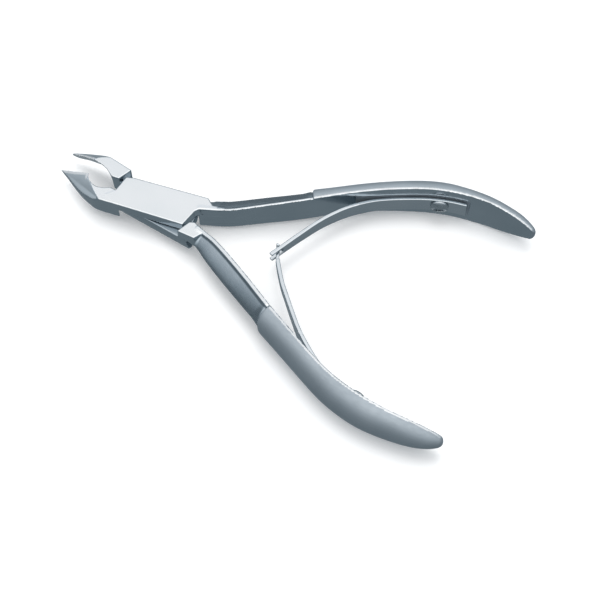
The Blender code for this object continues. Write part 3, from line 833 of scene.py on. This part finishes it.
def make_leaf_screw(key):
    lever = LEVERS[key]
    origin, out = screw_frame(lever)
    seat = LEAF_PROUD[key] + LEAF_THICKNESS / 2 + LEAF_SCREW_LIFT
    rise = LEAF_SCREW_HEIGHT - LEAF_SCREW_RIM
    cap = (LEAF_SCREW_HEAD**2 + rise**2) / (2 * rise)
    width, depth = LEAF_SCREW_SLOT

    def field(x, y, z):
        above = plane_field((*origin, 0), (*out, 0), x, y, z)
        lateral = plane_field((*origin, 0), (-out[1], out[0], 0), x, y, z)
        radius = np.hypot(lateral, z - MID_Z)
        dome = np.hypot(radius, above - seat - LEAF_SCREW_HEIGHT + cap) - cap
        head = meet(meet(dome, radius - LEAF_SCREW_HEAD, LEAF_HEAD_ROUND), seat - above, SMALL_ROUND)
        slot = meet(np.abs(z - MID_Z) - width / 2, seat + LEAF_SCREW_HEIGHT - depth - above, SLOT_ROUND)
        shank_middle = (seat - LEAF_SCREW_DEPTH) / 2
        shank_half = (seat + LEAF_SCREW_DEPTH) / 2 + SMALL_ROUND
        shank = meet(radius - LEAF_SCREW_SHANK, np.abs(above - shank_middle) - shank_half, SMALL_ROUND)
        return join(meet(head, -slot, SMALL_ROUND), shank, SMALL_ROUND)

    name = key + "_leaf_screw"
    low, high = (np.array(corner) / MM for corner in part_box(name))
    piece = make_piece(name + "_body", field, low - SCREW_MARGIN, high + SCREW_MARGIN, SCREW_STEP, [SCREW])
    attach(piece, key + "_lever")
    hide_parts(name)


def make_pivot_screw():
    width, depth = PIVOT_SLOT

    def field(x, y, z):
        radius = np.hypot(x, y)
        above = -JOINT_THICKNESS - z
        head_span = np.abs(above + PIVOT_HEAD_HEIGHT / 2) - PIVOT_HEAD_HEIGHT / 2
        head = meet(radius - PIVOT_HEAD, head_span, PIVOT_HEAD_ROUND)
        slot = meet(np.abs(y) - width / 2, -depth - above, SLOT_ROUND)
        shank_span = np.abs(above + PIVOT_DEPTH / 2) - PIVOT_DEPTH / 2
        shank = meet(radius - PIVOT_SHANK, shank_span, PIVOT_SHANK_ROUND)
        return meet(np.minimum(head, shank), -slot, SMALL_ROUND)

    low, high = (np.array(corner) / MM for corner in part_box("pivot_screw"))
    piece = make_piece("pivot_screw_body", field, low - SCREW_MARGIN, high + SCREW_MARGIN,
                       SCREW_STEP, [SCREW])
    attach(piece, "front_lever")
    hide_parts("pivot_screw")


# ---------------------------------------------------------------- stage

FLOOR_HALF_SIZE = 6.0


def make_floor():
    low = CAD_BOX[0].z
    size = FLOOR_HALF_SIZE
    mesh = bpy.data.meshes.new("floor")
    corners = [(-size, -size, low), (size, -size, low), (size, size, low), (-size, size, low)]
    mesh.from_pydata(corners, [], [(0, 1, 2, 3)])
    material = bpy.data.materials.new("pale_floor")
    material.use_nodes = True
    shader = material.node_tree.nodes["Principled BSDF"]
    shader.inputs["Base Color"].default_value = (0.9, 0.9, 0.9, 1)
    shader.inputs["Roughness"].default_value = 0.9
    shader.inputs["Specular IOR Level"].default_value = 0.0
    shader.inputs["Emission Color"].default_value = (1.0, 0.97, 0.95, 1)
    shader.inputs["Emission Strength"].default_value = 0.14
    mesh.materials.append(material)
    floor = bpy.data.objects.new("floor", mesh)
    floor.visible_glossy = False
    bpy.context.scene.collection.objects.link(floor)


# How bright the studio is by the sine of the elevation, and its tint there
STUDIO = [
    (-1.0, 0.24, (0.84, 1.0, 1.1)), (-0.1, 0.22, (0.84, 1.0, 1.1)), (0.12, 0.22, (0.84, 1.0, 1.1)),
    (0.44, 0.52, (0.88, 1.0, 1.08)), (0.65, 1.0, (0.96, 1.0, 1.04)), (0.85, 1.12, (1.0, 1.0, 1.0)),
    (1.0, 1.6, (1.0, 1.0, 1.0)),
]
KEY_ENERGY = 0.9
KEY_SOFTNESS = 36
KEY_DIRECTION = (0.147, -0.318, -1.0)


def make_studio():
    """Soft light from all round, bright overhead and dark below, plus one soft key light from behind."""
    world = bpy.data.worlds.new("studio")
    bpy.context.scene.world = world
    world.use_nodes = True
    tree = world.node_tree
    background = tree.nodes["Background"]
    place = node(tree, "ShaderNodeTexCoord").outputs["Generated"]
    parts = node(tree, "ShaderNodeSeparateXYZ")
    tree.links.new(place, parts.inputs["Vector"])
    height = ramp(tree, parts.outputs["Z"], -1, 1, 0, 1)
    colors = node(tree, "ShaderNodeValToRGB")
    stops = colors.color_ramp.elements
    for _ in range(len(STUDIO) - len(stops)):
        stops.new(0.5)
    brightest = max(level for _, level, _ in STUDIO)
    for stop, (sine, level, tint) in zip(stops, STUDIO):
        stop.position = (sine + 1) / 2
        stop.color = (*(level / brightest * channel for channel in tint), 1)
    tree.links.new(height, colors.inputs["Fac"])
    seen = node(tree, "ShaderNodeMix", data_type="RGBA")
    seen.inputs["B"].default_value = (0.8, 0.8, 0.8, 1)
    tree.links.new(node(tree, "ShaderNodeLightPath").outputs["Is Camera Ray"], seen.inputs["Factor"])
    tree.links.new(colors.outputs["Color"], seen.inputs["A"])
    tree.links.new(seen.outputs["Result"], background.inputs["Color"])
    background.inputs["Strength"].default_value = brightest
    sun = bpy.data.lights.new("key", "SUN")
    sun.energy = KEY_ENERGY
    sun.angle = math.radians(KEY_SOFTNESS)
    key = bpy.data.objects.new("key", sun)
    key.rotation_mode = "QUATERNION"
    key.rotation_quaternion = Vector(KEY_DIRECTION).to_track_quat("-Z", "Y")
    key.visible_glossy = False
    bpy.context.scene.collection.objects.link(key)


CAMERA_DISTANCE = 0.270
CAMERA_AZIMUTH = 24.8
CAMERA_ELEVATION = 58.0
CAMERA_LENS = 72.9
CAMERA_TARGET = Vector((0.04028, -0.00958, -0.0024))


def make_camera():
    azimuth, elevation = math.radians(CAMERA_AZIMUTH), math.radians(CAMERA_ELEVATION)
    back = Vector((math.sin(azimuth) * math.cos(elevation), -math.cos(azimuth) * math.cos(elevation),
                   math.sin(elevation)))
    data = bpy.data.cameras.new("camera")
    data.lens = CAMERA_LENS
    data.clip_start = 0.01
    camera = bpy.data.objects.new("camera", data)
    camera.location = CAMERA_TARGET + back * CAMERA_DISTANCE
    camera.rotation_mode = "QUATERNION"
    camera.rotation_quaternion = (-back).to_track_quat("-Z", "Y")
    bpy.context.scene.collection.objects.link(camera)
    bpy.context.scene.camera = camera
    bpy.context.scene.view_settings.view_transform = "Standard"


make_camera()
make_studio()
make_floor()
for side_name in LEVERS:
    make_lever(side_name)
    make_leaf_screw(side_name)
make_leaf("front", FRONT_FLEX_X, FRONT_ARM, [], fork_field)
make_leaf("back", BACK_FLEX_X, BACK_ARM, [TONGUE_END], hook_field)
make_pivot_screw()
